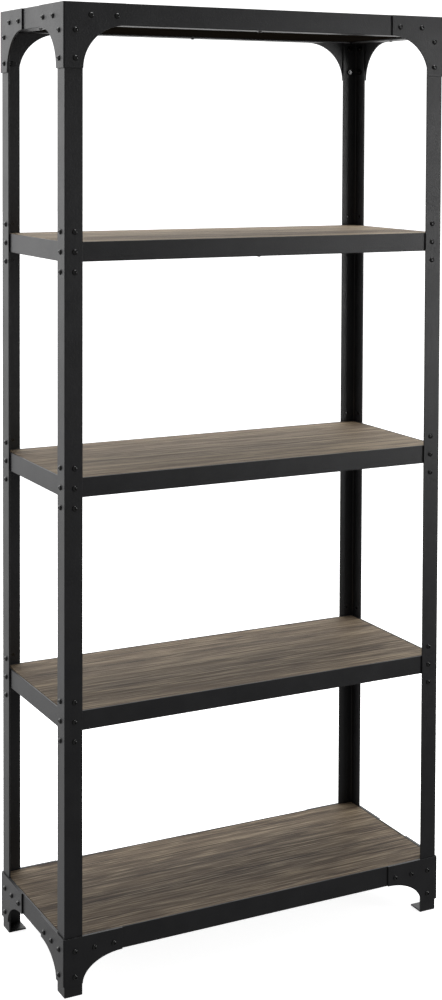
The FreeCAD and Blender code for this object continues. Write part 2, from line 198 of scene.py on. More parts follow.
def powder_coat():
    """Polyester powder coat over steel: near-black, satin, with the fine orange-peel texture it cures to."""
    steel = bpy.context.scene.bookcase_steel
    material, tree = new_material("powder_coated_steel")
    place = add_node(tree, "ShaderNodeTexCoord").outputs["Object"]
    # The peel of a textured coat is about 0.5 mm; drawn at 2.6 mm so that it shows at this distance.
    peel = add_node(tree, "ShaderNodeTexNoise",
                    inputs={"Vector": place, "Scale": 1 / 0.0026, "Detail": 3.0, "Roughness": 0.6})
    # Cloudy unevenness of the sprayed film, a few centimetres across.
    cloud = add_node(tree, "ShaderNodeTexNoise", inputs={"Vector": place, "Scale": 1 / 0.045, "Detail": 4.0})
    grit = add_node(tree, "ShaderNodeMapRange",
                    inputs={"Value": peel.outputs[0], "From Min": 0.56, "From Max": 0.74})
    drift = add_node(tree, "ShaderNodeMapRange",
                     inputs={"Value": cloud.outputs[0], "From Min": 0.35, "From Max": 0.75, "To Max": 0.6})
    dust = add_node(tree, MATH, {"operation": "MAXIMUM"},
                    (grit, drift))
    colour = add_node(tree, "ShaderNodeMix", {"data_type": "RGBA"},
                      {"Factor": dust, 6: (*steel.coat, 1), 7: (*steel.coat_worn, 1)})
    gloss = add_node(tree, "ShaderNodeMapRange",
                     inputs={"Value": cloud.outputs[0], "To Min": 0.32, "To Max": 0.44})
    bump = add_node(tree, "ShaderNodeBump",
                    inputs={"Height": peel.outputs[0], "Strength": 0.5, "Distance": 0.0006})
    shader = add_node(tree, "ShaderNodeBsdfPrincipled",
                      inputs={"Base Color": colour.outputs[2], "Roughness": gloss,
                              "Normal": bump, "IOR": 1.5})
    finish_material(tree, shader)
    return material


def black_oxide():
    """Black oxide bolts, oiled: blacker and smoother than the coat, so only the crowns catch the light."""
    material, tree = new_material("black_oxide_steel")
    place = add_node(tree, "ShaderNodeTexCoord").outputs["Object"]
    # Tumbling marks are under 0.2 mm; drawn at 0.9 mm so that they show.
    scuff = add_node(tree, "ShaderNodeTexNoise", inputs={"Vector": place, "Scale": 1 / 0.0009, "Detail": 2.0})
    colour = add_node(tree, "ShaderNodeMix", {"data_type": "RGBA"},
                      {"Factor": scuff.outputs[0], 6: (*linear("060606"), 1), 7: (*linear("121213"), 1)})
    gloss = add_node(tree, "ShaderNodeMapRange",
                     inputs={"Value": scuff.outputs[0], "To Min": 0.14, "To Max": 0.24})
    shader = add_node(tree, "ShaderNodeBsdfPrincipled",
                      inputs={"Base Color": colour.outputs[2], "Roughness": gloss,
                              "IOR": 1.5, "Coat Weight": 0.6, "Coat Roughness": 0.1})
    finish_material(tree, shader)
    return material


# Board material: band of height per board, place of the first glue line, reach of the random grain
# shift, and the share of cells without a knot.
BOARD_BAND = 0.21
STAVE_START = 0.2
GRAIN_SHIFT = 9.0
KNOT_FREE = 0.86


def brushed_pine(name, pore, body, bleached, specular):
    """Brushed softwood stained in three tones: long streaks where soft grain was brushed out, and knots."""
    wood = bpy.context.scene.bookcase_wood
    material, tree = new_material(name)
    place = add_node(tree, "ShaderNodeTexCoord").outputs["Object"]
    parts = add_node(tree, "ShaderNodeSeparateXYZ", inputs={0: place})
    across, up = parts.outputs["Y"], parts.outputs["Z"]
    # Each board stands in its own 0.21 m band of height, which gives it a grain of its own.
    storey = add_node(tree, MATH, {"operation": "DIVIDE"}, (up, BOARD_BAND))
    level = add_node(tree, MATH, {"operation": "FLOOR"}, (storey,))
    from_edge = add_node(tree, MATH, {"operation": "ADD"}, (across, STAVE_START))
    in_staves = add_node(tree, MATH, {"operation": "DIVIDE"}, (from_edge, wood.stave_width))
    stave = add_node(tree, MATH, {"operation": "FLOOR"}, (in_staves,))
    # Two factors that give every stave of every board a lot of its own.
    level_lot = add_node(tree, MATH, {"operation": "MULTIPLY"}, (level, 7.13))
    stave_lot = add_node(tree, MATH, {"operation": "MULTIPLY"}, (stave, 3.37))
    lot = add_node(tree, MATH, {"operation": "ADD"}, (level_lot, stave_lot))
    chance = add_node(tree, "ShaderNodeTexWhiteNoise", {"noise_dimensions": "1D"}, {"W": lot})
    shift = add_node(tree, "ShaderNodeVectorMath", {"operation": "SCALE"},
                     {0: chance.outputs["Color"], "Scale": GRAIN_SHIFT})
    moved = add_node(tree, "ShaderNodeVectorMath", {"operation": "ADD"}, (place, shift))

    def grain(length, width, detail, twist=0.0):
        """Noise drawn out along the board; length and width are in metres."""
        stretched = add_node(tree, "ShaderNodeMapping",
                             inputs={"Vector": moved, "Scale": (1 / length, 1 / width, 1 / width)})
        return add_node(tree, "ShaderNodeTexNoise",
                        inputs={"Vector": stretched, "Scale": 1.0, "Detail": detail,
                                "Roughness": 0.6, "Distortion": twist}).outputs[0]

    # Brushed-out grooves 3 mm wide and 0.22 m long, broader growth bands, and short bleached flecks.
    # Real grooves are about 1 mm wide; they are drawn at 3 mm so that they show at this distance.
    groove = grain(0.22, 0.003, 5.0, 0.4)
    band = grain(0.9, 0.022, 4.0, 0.9)
    fleck = grain(0.09, 0.003, 3.0)
    patch = grain(0.3, 0.05, 3.0)
    # Knots: one in a few cells of a 0.24 by 0.075 m grid.
    knot_place = add_node(tree, "ShaderNodeMapping",
                          inputs={"Vector": moved, "Scale": (1 / 0.24, 1 / 0.075, 0.0)})
    knot = add_node(tree, "ShaderNodeTexVoronoi", inputs={"Vector": knot_place, "Scale": 1.0})
    knot_chance = add_node(tree, "ShaderNodeSeparateColor", inputs={0: knot.outputs["Color"]})
    knotty = add_node(tree, MATH, {"operation": "GREATER_THAN"}, (knot_chance, KNOT_FREE))
    near = add_node(tree, "ShaderNodeMapRange", {"interpolation_type": "SMOOTHSTEP"},
                    {"Value": knot.outputs["Distance"], "From Min": 0.16, "From Max": 0.02})
    heart = add_node(tree, MATH, {"operation": "MULTIPLY"}, (near, knotty))

    tone = add_node(tree, "ShaderNodeMapRange",
                    inputs={"Value": chance.outputs["Value"], "To Min": -0.035, "To Max": 0.035})
    # What lightens or darkens the stain: a pattern, its middle, and how much it counts. The stain grows
    # lighter with height, so the higher boards are painted lighter: painted light, not bleaching.
    shares = (
        (groove, 0.0, 0.5),
        (band, 0.0, 0.4),
        (patch, 0.0, 0.2),
        # painted light: the stain lightens with height, as if the higher boards stood more in the light
        (up, 0.8, 0.055),
        (fleck, 0.5, 0.26),
        (heart, 0.0, -0.4),
    )
    for pattern, middle, share in shares:
        away = add_node(tree, MATH, {"operation": "SUBTRACT"}, (pattern, middle))
        tone = add_node(tree, MATH, {"operation": "MULTIPLY_ADD"}, (away, share, tone))
    stain = add_node(tree, "ShaderNodeValToRGB", inputs={"Fac": tone})
    ramp = stain.color_ramp
    ramp.elements[0].position = 0.4
    ramp.elements[0].color = (*pore, 1)
    ramp.elements[1].position = 0.74
    ramp.elements[1].color = (*bleached, 1)
    ramp.elements.new(0.55).color = (*body, 1)
    bright = add_node(tree, "ShaderNodeMapRange",
                      inputs={"Value": fleck, "From Min": 0.52, "From Max": 0.68, "To Max": 0.75})
    flecked = add_node(tree, "ShaderNodeMix", {"data_type": "RGBA"},
                       {"Factor": bright, 6: stain.outputs["Color"], 7: (*bleached, 1)})
    # Glue line between staves, a crease 0.8 mm wide.
    across_stave = add_node(tree, MATH, {"operation": "FRACT"}, (in_staves,))
    from_middle = add_node(tree, MATH, {"operation": "PINGPONG"}, (across_stave, 0.5))
    from_joint = add_node(tree, MATH, {"operation": "MULTIPLY"}, (from_middle, wood.stave_width))
    joint = add_node(tree, "ShaderNodeMapRange",
                     inputs={"Value": from_joint, "From Min": 0.0003, "From Max": 0.0012,
                             "To Min": 0.6, "To Max": 0.0})
    colour = add_node(tree, "ShaderNodeMix", {"data_type": "RGBA"},
                      {"Factor": joint, 6: flecked.outputs[2], 7: (*pore, 1)})
    relief = add_node(tree, MATH, {"operation": "MULTIPLY_ADD"}, (fleck, 0.5, groove))
    relief = add_node(tree, MATH, {"operation": "MULTIPLY_ADD"}, (joint, -0.6, relief))
    bump = add_node(tree, "ShaderNodeBump", inputs={"Height": relief, "Strength": 0.7, "Distance": 0.0008})
    sheen = add_node(tree, "ShaderNodeMapRange",
                     inputs={"Value": groove, "From Min": 0.3, "From Max": 0.7,
                             "To Min": 0.8, "To Max": 0.62})
    shader = add_node(tree, "ShaderNodeBsdfPrincipled",
                      inputs={"Base Color": colour.outputs[2], "Roughness": sheen, "Normal": bump,
                              "IOR": 1.45, "Specular IOR Level": specular})
    finish_material(tree, shader)
    return material


def weathered_board():
    """Top and edges of a board: open to light and dusting, so grey-brown with bleached flecks; the underside
    takes a darker copy of this stain as painted shade.
    """
    wood = bpy.context.scene.bookcase_wood
    return brushed_pine("brushed_weathered_pine", wood.pore, wood.body, wood.bleached, 0.35)


def painted_shade_underside():
    """Underside of a board: the same pine in much darker colours, painted shade for an underside that lies in
    shadow.
    """
    return brushed_pine("underside_painted_shade_pine", linear("14110e"), linear("231f1b"), linear("342f29"), 0.0)


def studio_paper():
    """Matt seamless background paper."""
    material, tree = new_material("studio_paper")
    place = add_node(tree, "ShaderNodeTexCoord").outputs["Object"]
    fibre = add_node(tree, "ShaderNodeTexNoise", inputs={"Vector": place, "Scale": 1 / 0.004, "Detail": 2.0})
    bump = add_node(tree, "ShaderNodeBump",
                    inputs={"Height": fibre.outputs[0], "Strength": 0.05, "Distance": 0.0002})
    paper = (*bpy.context.scene.bookcase_stage.floor, 1)
    # Lit evenly from its own lamps, so that only soft contact shadows stay on it.
    shader = add_node(tree, "ShaderNodeBsdfPrincipled",
                      inputs={"Base Color": paper, "Roughness": 0.9, "Normal": bump,
                              "Emission Color": paper, "Emission Strength": 0.98})
    finish_material(tree, shader)
    return material


MAKERS = {
    "powder_coated_steel": powder_coat,
    "black_oxide_steel": black_oxide,
    "brushed_weathered_pine": weathered_board,
    "underside_painted_shade_pine": painted_shade_underside,
    "studio_paper": studio_paper,
}


def finish(name):
    """The material of that name, made the first time it is asked for."""
    return bpy.data.materials.get(name) or MAKERS[name]()


# ---- mesh helpers --------------------------------------------------------------------------------
def new_piece(name, builder, finish_name):
    """Turn a bmesh into an object at the origin, with its faces outwards and its material set."""
    bmesh.ops.recalc_face_normals(builder, faces=builder.faces)
    for face in builder.faces:
        face.smooth = True
    mesh = bpy.data.meshes.new(name)
    builder.to_mesh(mesh)
    builder.free()
    piece = bpy.data.objects.new(name, mesh)
    mesh.materials.append(finish(finish_name))
    bpy.context.scene.collection.objects.link(piece)
    return piece


def even_normals(piece):
    """Weight the shading by face size, so that flats stay flat between their rounded edges."""
    weights = piece.modifiers.new("flat_faces", "WEIGHTED_NORMAL")
    weights.keep_sharp = True


def settle(piece, node):
    """Stand the piece in for its CAD node, on that node's body."""
    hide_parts(node)
    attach(piece, frame["nodes"][node]["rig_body"])


def arc_points(centre, radius, start, turn, steps):
    return [(centre[0] + radius * math.cos(start + turn * i / steps),
             centre[1] + radius * math.sin(start + turn * i / steps)) for i in range(steps + 1)]


def angle_section(leg_a, leg_b, inset):
    """Outline of an angle bar, its outer corner at the origin and its legs along +a and +b."""
    steel = bpy.context.scene.bookcase_steel
    wall, edge = steel.wall, steel.edge_radius
    heel, root = steel.heel_radius, steel.root_radius
    small = max(edge - inset, 0.00005)
    low, high_a, high_b, inner = inset, leg_a - inset, leg_b - inset, wall - inset
    quarter = QUARTER_TURN
    outline = arc_points((low + heel, low + heel), heel, 2 * quarter, quarter, 5)
    outline += arc_points((high_a - small, low + small), small, -quarter, quarter, 3)
    outline += arc_points((high_a - small, inner - small), small, 0, quarter, 3)
    outline += arc_points((inner + root, inner + root), root, 3 * quarter, -quarter, 5)
    outline += arc_points((inner - small, high_b - small), small, 0, quarter, 3)
    outline += arc_points((low + small, high_b - small), small, quarter, quarter, 3)
    return outline


def angle_bar(name, corner, leg_a, leg_b, run, finish_name, mitred=False):
    """Extrude an angle section from its outer corner; the legs and the run are vectors.

    A mitred bar has its ends cut back at 45 degrees across leg b.
    """
    edge = bpy.context.scene.bookcase_steel.edge_radius
    along = run.normalized()
    unit_a, unit_b = leg_a.normalized(), leg_b.normalized()
    builder = bmesh.new()
    rings = []
    stations = ((0, edge, 1), (edge, 0, 1), (run.length - edge, 0, -1), (run.length, edge, -1))
    for distance, inset, inward in stations:
        section = angle_section(leg_a.length, leg_b.length, inset)
        slant = inward if mitred else 0
        rings.append([builder.verts.new(corner + unit_a * a + unit_b * b + along * (distance + slant * b))
                      for a, b in section])
    for before, after in zip(rings, rings[1:]):
        for i in range(len(before)):
            j = (i + 1) % len(before)
            builder.faces.new((before[i], before[j], after[j], after[i]))
    builder.faces.new(rings[0])
    builder.faces.new(rings[-1])
    piece = new_piece(name, builder, finish_name)
    even_normals(piece)
    return piece


# ---- posts and feet ------------------------------------------------------------------------------
class BOOKCASE_OT_posts(bpy.types.Operator):
    """Four corner posts of angle steel"""
    bl_idname = "bookcase.posts"
    bl_label = "Corner posts"

    def execute(self, context):
        for corner, (side, end) in CORNERS.items():
            node = "post_" + corner
            low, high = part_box(node)
            heel = Vector((side * HALF_WIDTH, end * HALF_DEPTH, low.z))
            piece = angle_bar("steel_" + node, heel, Vector((-side * POST_LEG, 0, 0)),
                              Vector((0, -end * POST_LEG, 0)), Vector((0, 0, high.z - low.z)),
                              "powder_coated_steel")
            settle(piece, node)
        return {"FINISHED"}


class BOOKCASE_OT_foot_plates(bpy.types.Operator):
    """Plates welded inside the lower ends of the posts"""
    bl_idname = "bookcase.foot_plates"
    bl_label = "Foot plates"

    def execute(self, context):
        for corner in CORNERS:
            node = "foot_plate_" + corner
            piece = soft_block("steel_" + node, *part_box(node), context.scene.bookcase_steel.edge_radius,
                               "powder_coated_steel")
            settle(piece, node)
        return {"FINISHED"}


def soft_block(name, low, high, radius, finish_name):
    builder = bmesh.new()
    bmesh.ops.create_cube(builder, size=1.0)
    size = high - low
    for vert in builder.verts:
        vert.co = Vector(((vert.co.x + 0.5) * size.x, (vert.co.y + 0.5) * size.y,
                          (vert.co.z + 0.5) * size.z)) + low
    bmesh.ops.bevel(builder, geom=list(builder.edges), offset=radius, segments=3, profile=0.5, affect="EDGES")
    piece = new_piece(name, builder, finish_name)
    even_normals(piece)
    return piece


# ---- rails ---------------------------------------------------------------------------------------
def rail(node, mitred):
    """An angle rail with its ledge at the bottom, pointing inwards."""
    low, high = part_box(node)
    tall = Vector((0, 0, high.z - low.z))
    if node.endswith(("front", "back")):
        end = -1 if node.endswith("front") else 1
        face = low.y if end < 0 else high.y
        corner, ledge = Vector((low.x, face, low.z)), Vector((0, -end * (high.y - low.y), 0))
        run = Vector((high.x - low.x, 0, 0))
    else:
        side = -1 if node.endswith("left") else 1
        face = low.x if side < 0 else high.x
        corner, ledge = Vector((face, low.y, low.z)), Vector((-side * (high.x - low.x), 0, 0))
        run = Vector((0, high.y - low.y, 0))
    piece = angle_bar("steel_" + node, corner, tall, ledge, run, "powder_coated_steel", mitred)
    settle(piece, node)


class BOOKCASE_OT_end_rails(bpy.types.Operator):
    """Rails of the top and base frames"""
    bl_idname = "bookcase.end_rails"
    bl_label = "Top and base rails"

    def execute(self, context):
        for level in ("top", "base"):
            for side in SIDES:
                rail(f"{level}_rail_{side}", False)
        return {"FINISHED"}


class BOOKCASE_OT_shelf_rails(bpy.types.Operator):
    """Rails of the three adjustable frames"""
    bl_idname = "bookcase.shelf_rails"
    bl_label = "Adjustable frames"

    def execute(self, context):
        for shelf in SHELVES:
            for side in SIDES:
                rail(f"{shelf}_rail_{side}", True)
        return {"FINISHED"}


# ---- gussets -------------------------------------------------------------------------------------
BEND_STEPS = 8


def gusset_outline(leg, low, high, arm, steps=40):
    """One arm of a gusset, as distances from the post's outer corner and heights."""
    outline = [(0.0, low), (0.0, high), (leg, high)]
    span, rise = leg - POST_LEG, high - low - arm
    for i in range(steps + 1):
        turn = QUARTER_TURN * (1 - i / steps)
        outline.append((leg - span * math.cos(turn), low + rise * math.sin(turn)))
    return outline


def gusset(node, side, end, arm):
    """Plate bent round a corner: two flat arms and a quarter-round bend, as one closed shell."""
    steel = bpy.context.scene.bookcase_steel
    low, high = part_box(node)
    leg = high.x - low.x - steel.wall
    outline = gusset_outline(leg, low.z, high.z, arm)
    builder = bmesh.new()
    corner = Vector((side * HALF_WIDTH, end * HALF_DEPTH, 0))
    arms = (
        (Vector((-side, 0, 0)), Vector((0, end, 0))),
        (Vector((0, -end, 0)), Vector((side, 0, 0))),
    )
    spine = [builder.verts.new(corner + Vector((0, 0, z))) for z in (low.z, high.z)]
    rims = []
    for along, outward in arms:
        inner = spine + [builder.verts.new(corner + along * u + Vector((0, 0, z))) for u, z in outline[2:]]
        outer = [builder.verts.new(corner + along * u + outward * steel.wall + Vector((0, 0, z)))
                 for u, z in outline]
        builder.faces.new(inner)
        builder.faces.new(outer)
        for i in range(1, len(outline)):
            j = (i + 1) % len(outline)
            builder.faces.new((inner[i], inner[j], outer[j], outer[i]))
        rims.append(outer[:2])
    bend = [rims[0]]
    for i in range(1, BEND_STEPS):
        turn = QUARTER_TURN * i / BEND_STEPS
        offset = arms[0][1] * (steel.wall * math.cos(turn)) + arms[1][1] * (steel.wall * math.sin(turn))
        bend.append([builder.verts.new(corner + offset + Vector((0, 0, z))) for z in (low.z, high.z)])
    bend.append(rims[1])
    for before, after in zip(bend, bend[1:]):
        builder.faces.new((before[0], before[1], after[1], after[0]))
    builder.faces.new([spine[0]] + [pair[0] for pair in bend])
    builder.faces.new([spine[1]] + [pair[1] for pair in bend])
    piece = new_piece("steel_" + node, builder, "powder_coated_steel")
    softening = piece.modifiers.new("cut_edges", "BEVEL")
    softening.width = steel.edge_radius
    softening.segments = 2
    softening.limit_method = "ANGLE"
    softening.angle_limit = math.radians(40)
    even_normals(piece)
    settle(piece, node)


class BOOKCASE_OT_gussets(bpy.types.Operator):
    """Bent corner gussets with concave cut-outs"""
    bl_idname = "bookcase.gussets"
    bl_label = "Corner gussets"

    def execute(self, context):
        for level in ("top", "base"):
            rail_low, rail_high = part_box(level + "_rail_front")
            for corner, (side, end) in CORNERS.items():
                gusset(f"{level}_gusset_{corner}", side, end, rail_high.z - rail_low.z)
        return {"FINISHED"}


# ---- boards --------------------------------------------------------------------------------------
class BOOKCASE_OT_boards(bpy.types.Operator):
    """Thick wooden boards lying in the frames"""
    bl_idname = "bookcase.boards"
    bl_label = "Boards"

    def execute(self, context):
        for level in LEVELS:
            node = level + "_board"
            piece = soft_block("wooden_" + node, *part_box(node), context.scene.bookcase_wood.arris,
                               "brushed_weathered_pine")
            # Faces that look down take the darker underside copy of the wood, which is painted shade.
            piece.data.materials.append(finish("underside_painted_shade_pine"))
            for face in piece.data.polygons:
                face.material_index = 1 if face.normal.z < -0.9 else 0
            settle(piece, node)
        return {"FINISHED"}


# ---- fasteners -----------------------------------------------------------------------------------
# How far the square of a head's width drops by its crown, and its socket's length over its height.
CROWN_DROP = 0.8
SOCKET_DEPTH = 1.15
# Ends of the cone that chamfers a nut, over the nut's radius.
TRIM_NARROW, TRIM_BROAD = 0.86, 1.6
BOLT_TURN_SEED, NUT_TURN_SEED = 11, 23
# How far a post bolt stands proud inside its post, and a bolt's end outside its nut.
STUB_PROUD = 0.00015
BOLT_END = 0.0018
# A board screw's socket and shank over its head's radius, and its length.
SCREW_SOCKET, SCREW_SHANK, SCREW_LENGTH = 0.42, 0.5, 0.018
CREASE_ANGLE = math.radians(32)


def islands(node):
    """Boxes of the separate solids in a CAD node."""
    builder = bmesh.new()
    builder.from_mesh(frame["nodes"][node].data)
    bmesh.ops.remove_doubles(builder, verts=builder.verts, dist=1e-6)
    waiting = set(builder.verts)
    boxes = []
    while waiting:
        stack = [waiting.pop()]
        low, high = stack[0].co.copy(), stack[0].co.copy()
        while stack:
            vert = stack.pop()
            for i in range(3):
                low[i] = min(low[i], vert.co[i])
                high[i] = max(high[i], vert.co[i])
            for edge in vert.link_edges:
                other = edge.other_vert(vert)
                if other in waiting:
                    waiting.discard(other)
                    stack.append(other)
        boxes.append((low, high))
    builder.free()
    return boxes


def fastener_seats(node, head_height):
    """For each fastener: where its head sits, and its outward direction.

    The seat is the middle of the outer end moved in by the head's height.
    """
    seats = []
    for low, high in islands(node):
        middle = (low + high) / 2
        gap_x, gap_y = HALF_WIDTH - abs(middle.x), HALF_DEPTH - abs(middle.y)
        axis = 0 if gap_x < gap_y else 1
        outward = Vector((0, 0, 0))
        outward[axis] = math.copysign(1, middle[axis])
        seat = middle.copy()
        seat[axis] = (high[axis] if outward[axis] > 0 else low[axis]) - outward[axis] * head_height
        seats.append((seat, outward))
    return seats


def point_cloud(name, seats):
    """Loose vertices that carry the direction each fastener faces."""
    mesh = bpy.data.meshes.new(name)
    mesh.from_pydata([seat for seat, _ in seats], [], [])
    facing = mesh.attributes.new("facing", "FLOAT_VECTOR", "POINT")
    for i, (_, outward) in enumerate(seats):
        facing.data[i].vector = outward
    cloud = bpy.data.objects.new(name, mesh)
    bpy.context.scene.collection.objects.link(cloud)
    return cloud


def new_tree(name, sizes):
    """A Geometry Nodes tree with a geometry input, named length inputs and a material input."""
    tree = bpy.data.node_groups.new(name, "GeometryNodeTree")
    tree.interface.new_socket("Geometry", in_out="INPUT", socket_type="NodeSocketGeometry")
    for label in sizes:
        socket = tree.interface.new_socket(label, in_out="INPUT", socket_type="NodeSocketFloat")
        socket.subtype = "DISTANCE"
    tree.interface.new_socket("Finish", in_out="INPUT", socket_type="NodeSocketMaterial")
    tree.interface.new_socket("Geometry", in_out="OUTPUT", socket_type="NodeSocketGeometry")
    return tree, tree.nodes.new("NodeGroupInput")


def place_on_points(tree, given, shape, seed):
    """Stand the shape on every point, facing outwards and turned at random about its own axis."""
    facing = add_node(tree, "GeometryNodeInputNamedAttribute", {"data_type": "FLOAT_VECTOR"},
                      {"Name": "facing"})
    aim = add_node(tree, "FunctionNodeAlignRotationToVector", {"axis": "Z"},
                   {"Vector": facing.outputs["Attribute"]})
    spin = add_node(tree, "FunctionNodeRandomValue", {"data_type": "FLOAT"}, {3: math.tau, "Seed": seed})
    turn = add_node(tree, "ShaderNodeCombineXYZ", inputs={"Z": spin.outputs[1]})
    spun = add_node(tree, "FunctionNodeRotateRotation", {"rotation_space": "LOCAL"},
                    (aim, turn))
    stand = add_node(tree, "GeometryNodeInstanceOnPoints",
                     inputs={"Points": given.outputs["Geometry"], "Instance": shape, "Rotation": spun})
    real = add_node(tree, "GeometryNodeRealizeInstances", inputs={"Geometry": stand})
    coated = add_node(tree, "GeometryNodeSetMaterial",
                      inputs={"Geometry": real, "Material": given.outputs["Finish"]})
    add_node(tree, "NodeGroupOutput", inputs={"Geometry": coated})


def lifted(tree, geometry, height):
    """The geometry moved along its own axis."""
    offset = add_node(tree, "ShaderNodeCombineXYZ", inputs={"Z": height})
    return add_node(tree, "GeometryNodeTransform",
                    inputs={"Geometry": geometry, "Translation": offset}).outputs[0]


def fastener_shank(tree, given):
    """Round bar from the seat back into the steel."""
    bar = add_node(tree, "GeometryNodeMeshCylinder",
                   inputs={"Vertices": 20, "Radius": given.outputs["Shank Radius"],
                           "Depth": given.outputs["Shank Length"]})
    half = add_node(tree, MATH, {"operation": "MULTIPLY"}, (given.outputs["Shank Length"], -0.5))
    return lifted(tree, bar, half)


def joined(tree, *shapes):
    join = tree.nodes.new("GeometryNodeJoinGeometry")
    for shape in shapes:
        tree.links.new(shape, join.inputs[0])
    return join.outputs[0]


def button_bolt_tree():
    """Domed head with a hex socket, on a shank that runs back into the steel."""
    sizes = ("Head Radius", "Head Height", "Socket Radius", "Shank Radius", "Shank Length")
    tree, given = new_tree("button_head_bolts", sizes)
    blank = add_node(tree, "GeometryNodeMeshCylinder",
                     inputs={"Vertices": 28, "Side Segments": 7, "Radius": 1.0, "Depth": 1.0})
    parts = add_node(tree, "ShaderNodeSeparateXYZ", inputs=(add_node(tree, "GeometryNodeInputPosition"),))
    rise = add_node(tree, MATH, {"operation": "ADD"}, (parts.outputs["Z"], 0.5))
    # The crown follows a circle and ends in a flat 0.45 of the head's width.
    rise_squared = add_node(tree, MATH, {"operation": "MULTIPLY"}, (rise, rise))
    width_squared = add_node(tree, MATH, {"operation": "MULTIPLY_ADD"}, (rise_squared, -CROWN_DROP, 1.0))
    crown = add_node(tree, MATH, {"operation": "SQRT"}, (width_squared,))
    wide = add_node(tree, MATH, {"operation": "MULTIPLY"}, (crown, given.outputs["Head Radius"]))
    dome_place = add_node(tree, "ShaderNodeCombineXYZ", inputs=[
        add_node(tree, MATH, {"operation": "MULTIPLY"}, pair) for pair in (
            (parts.outputs["X"], wide), (parts.outputs["Y"], wide), (rise, given.outputs["Head Height"]))])
    dome = add_node(tree, "GeometryNodeSetPosition", inputs={"Geometry": blank, "Position": dome_place})
    depth = add_node(tree, MATH, {"operation": "MULTIPLY"}, (given.outputs["Head Height"], SOCKET_DEPTH))
    hexagon = add_node(tree, "GeometryNodeMeshCylinder",
                       inputs={"Vertices": 6, "Radius": given.outputs["Socket Radius"], "Depth": depth})
    key = lifted(tree, hexagon, given.outputs["Head Height"])
    head = add_node(tree, "GeometryNodeMeshBoolean", {"operation": "DIFFERENCE", "solver": "EXACT"},
                    {"Mesh 1": dome, "Mesh 2": key})
    place_on_points(tree, given, joined(tree, head.outputs["Mesh"], fastener_shank(tree, given)),
                    BOLT_TURN_SEED)
    return tree


def hex_nut_tree():
    """Hexagon nut with a chamfered outer face, on the end of its bolt."""
    tree, given = new_tree("hex_nuts", ("Nut Radius", "Nut Height", "Shank Radius", "Shank Length"))
    block = add_node(tree, "GeometryNodeMeshCylinder",
                     inputs={"Vertices": 6, "Radius": given.outputs["Nut Radius"],
                             "Depth": given.outputs["Nut Height"]})
    # A wide shallow cone trims the six corners.
    narrow = add_node(tree, MATH, {"operation": "MULTIPLY"}, (given.outputs["Nut Radius"], TRIM_NARROW))
    broad = add_node(tree, MATH, {"operation": "MULTIPLY"}, (given.outputs["Nut Radius"], TRIM_BROAD))
    trim = add_node(tree, "GeometryNodeMeshCone",
                    inputs={"Vertices": 36, "Radius Top": broad, "Radius Bottom": narrow,
                            "Depth": given.outputs["Nut Height"]})
    down_half = add_node(tree, MATH, {"operation": "MULTIPLY"}, (given.outputs["Nut Height"], -0.5))
    body = add_node(tree, "GeometryNodeMeshBoolean", {"operation": "INTERSECT", "solver": "EXACT"})
    for shape in (block.outputs["Mesh"], lifted(tree, trim, down_half)):
        tree.links.new(shape, body.inputs["Mesh 2"])
    # The cut leaves slivers where its planes meet; welding points within 0.02 mm removes them.
    clean = add_node(tree, "GeometryNodeMergeByDistance", inputs={"Geometry": body, "Distance": 0.00002})
    nut = lifted(tree, clean, down_half)
    place_on_points(tree, given, joined(tree, nut, fastener_shank(tree, given)), NUT_TURN_SEED)
    return tree


def grow(name, tree, seats, sizes, finish_name):
    """Run a tree on a cloud of seats and keep the result as a plain mesh at the origin."""
    cloud = point_cloud(name + "_seats", seats)
    modifier = cloud.modifiers.new("fasteners", "NODES")
    modifier.node_group = tree
    values = {**sizes, "Finish": finish(finish_name)}
    for socket in tree.interface.items_tree:
        if socket.in_out == "INPUT" and socket.name in values:
            modifier[socket.identifier] = values[socket.name]
    bpy.context.view_layer.update()
    evaluated = cloud.evaluated_get(bpy.context.evaluated_depsgraph_get())
    mesh = bpy.data.meshes.new_from_object(evaluated)
    mesh.name = name
    cloud.modifiers.remove(modifier)
    bpy.data.objects.remove(cloud)
    piece = bpy.data.objects.new(name, mesh)
    bpy.context.scene.collection.objects.link(piece)
    mesh.shade_smooth()
    mesh.set_sharp_from_angle(angle=CREASE_ANGLE)
    return piece


class BOOKCASE_OT_bolts(bpy.types.Operator):
    """Button-head bolts in the gussets and in the posts"""
    bl_idname = "bookcase.bolts"
    bl_label = "Bolts"

    def execute(self, context):
        sizes = context.scene.bookcase_fasteners
        tree = button_bolt_tree()
        wall = context.scene.bookcase_steel.wall
        # Gusset bolts pass two walls; post bolts stand 0.15 mm proud inside the post.
        nodes = {"top_gusset_bolts": 2 * wall, "base_gusset_bolts": 2 * wall}
        nodes.update({shelf + "_post_bolts": wall + STUB_PROUD for shelf in SHELVES})
        for node, shank in nodes.items():
            piece = grow("blackened_" + node, tree, fastener_seats(node, sizes.head_height), {
                "Head Radius": sizes.head_radius,
                "Head Height": sizes.head_height,
                "Socket Radius": sizes.socket_radius,
                "Shank Radius": sizes.shank_radius,
                "Shank Length": shank,
            }, "black_oxide_steel")
            settle(piece, node)
        return {"FINISHED"}


class BOOKCASE_OT_nuts(bpy.types.Operator):
    """Nuts on the inner ends of the bolts"""
    bl_idname = "bookcase.nuts"
    bl_label = "Nuts"

    def execute(self, context):
        sizes = context.scene.bookcase_fasteners
        wall = context.scene.bookcase_steel.wall
        tree = hex_nut_tree()
        nodes = {"top_gusset_nuts": False, "base_gusset_nuts": False}
        nodes.update({shelf + "_nuts": True for shelf in SHELVES})
        for node, has_end in nodes.items():
            # The outer end of a solid is the nut's bearing face, or the bolt's end one wall further out.
            seats = fastener_seats(node, wall if has_end else 0.0)
            piece = grow("blackened_" + node, tree, seats, {
                "Nut Radius": sizes.nut_radius,
                "Nut Height": sizes.nut_height,
                "Shank Radius": sizes.shank_radius,
                "Shank Length": sizes.nut_height + BOLT_END,
            }, "black_oxide_steel")
            settle(piece, node)
        return {"FINISHED"}


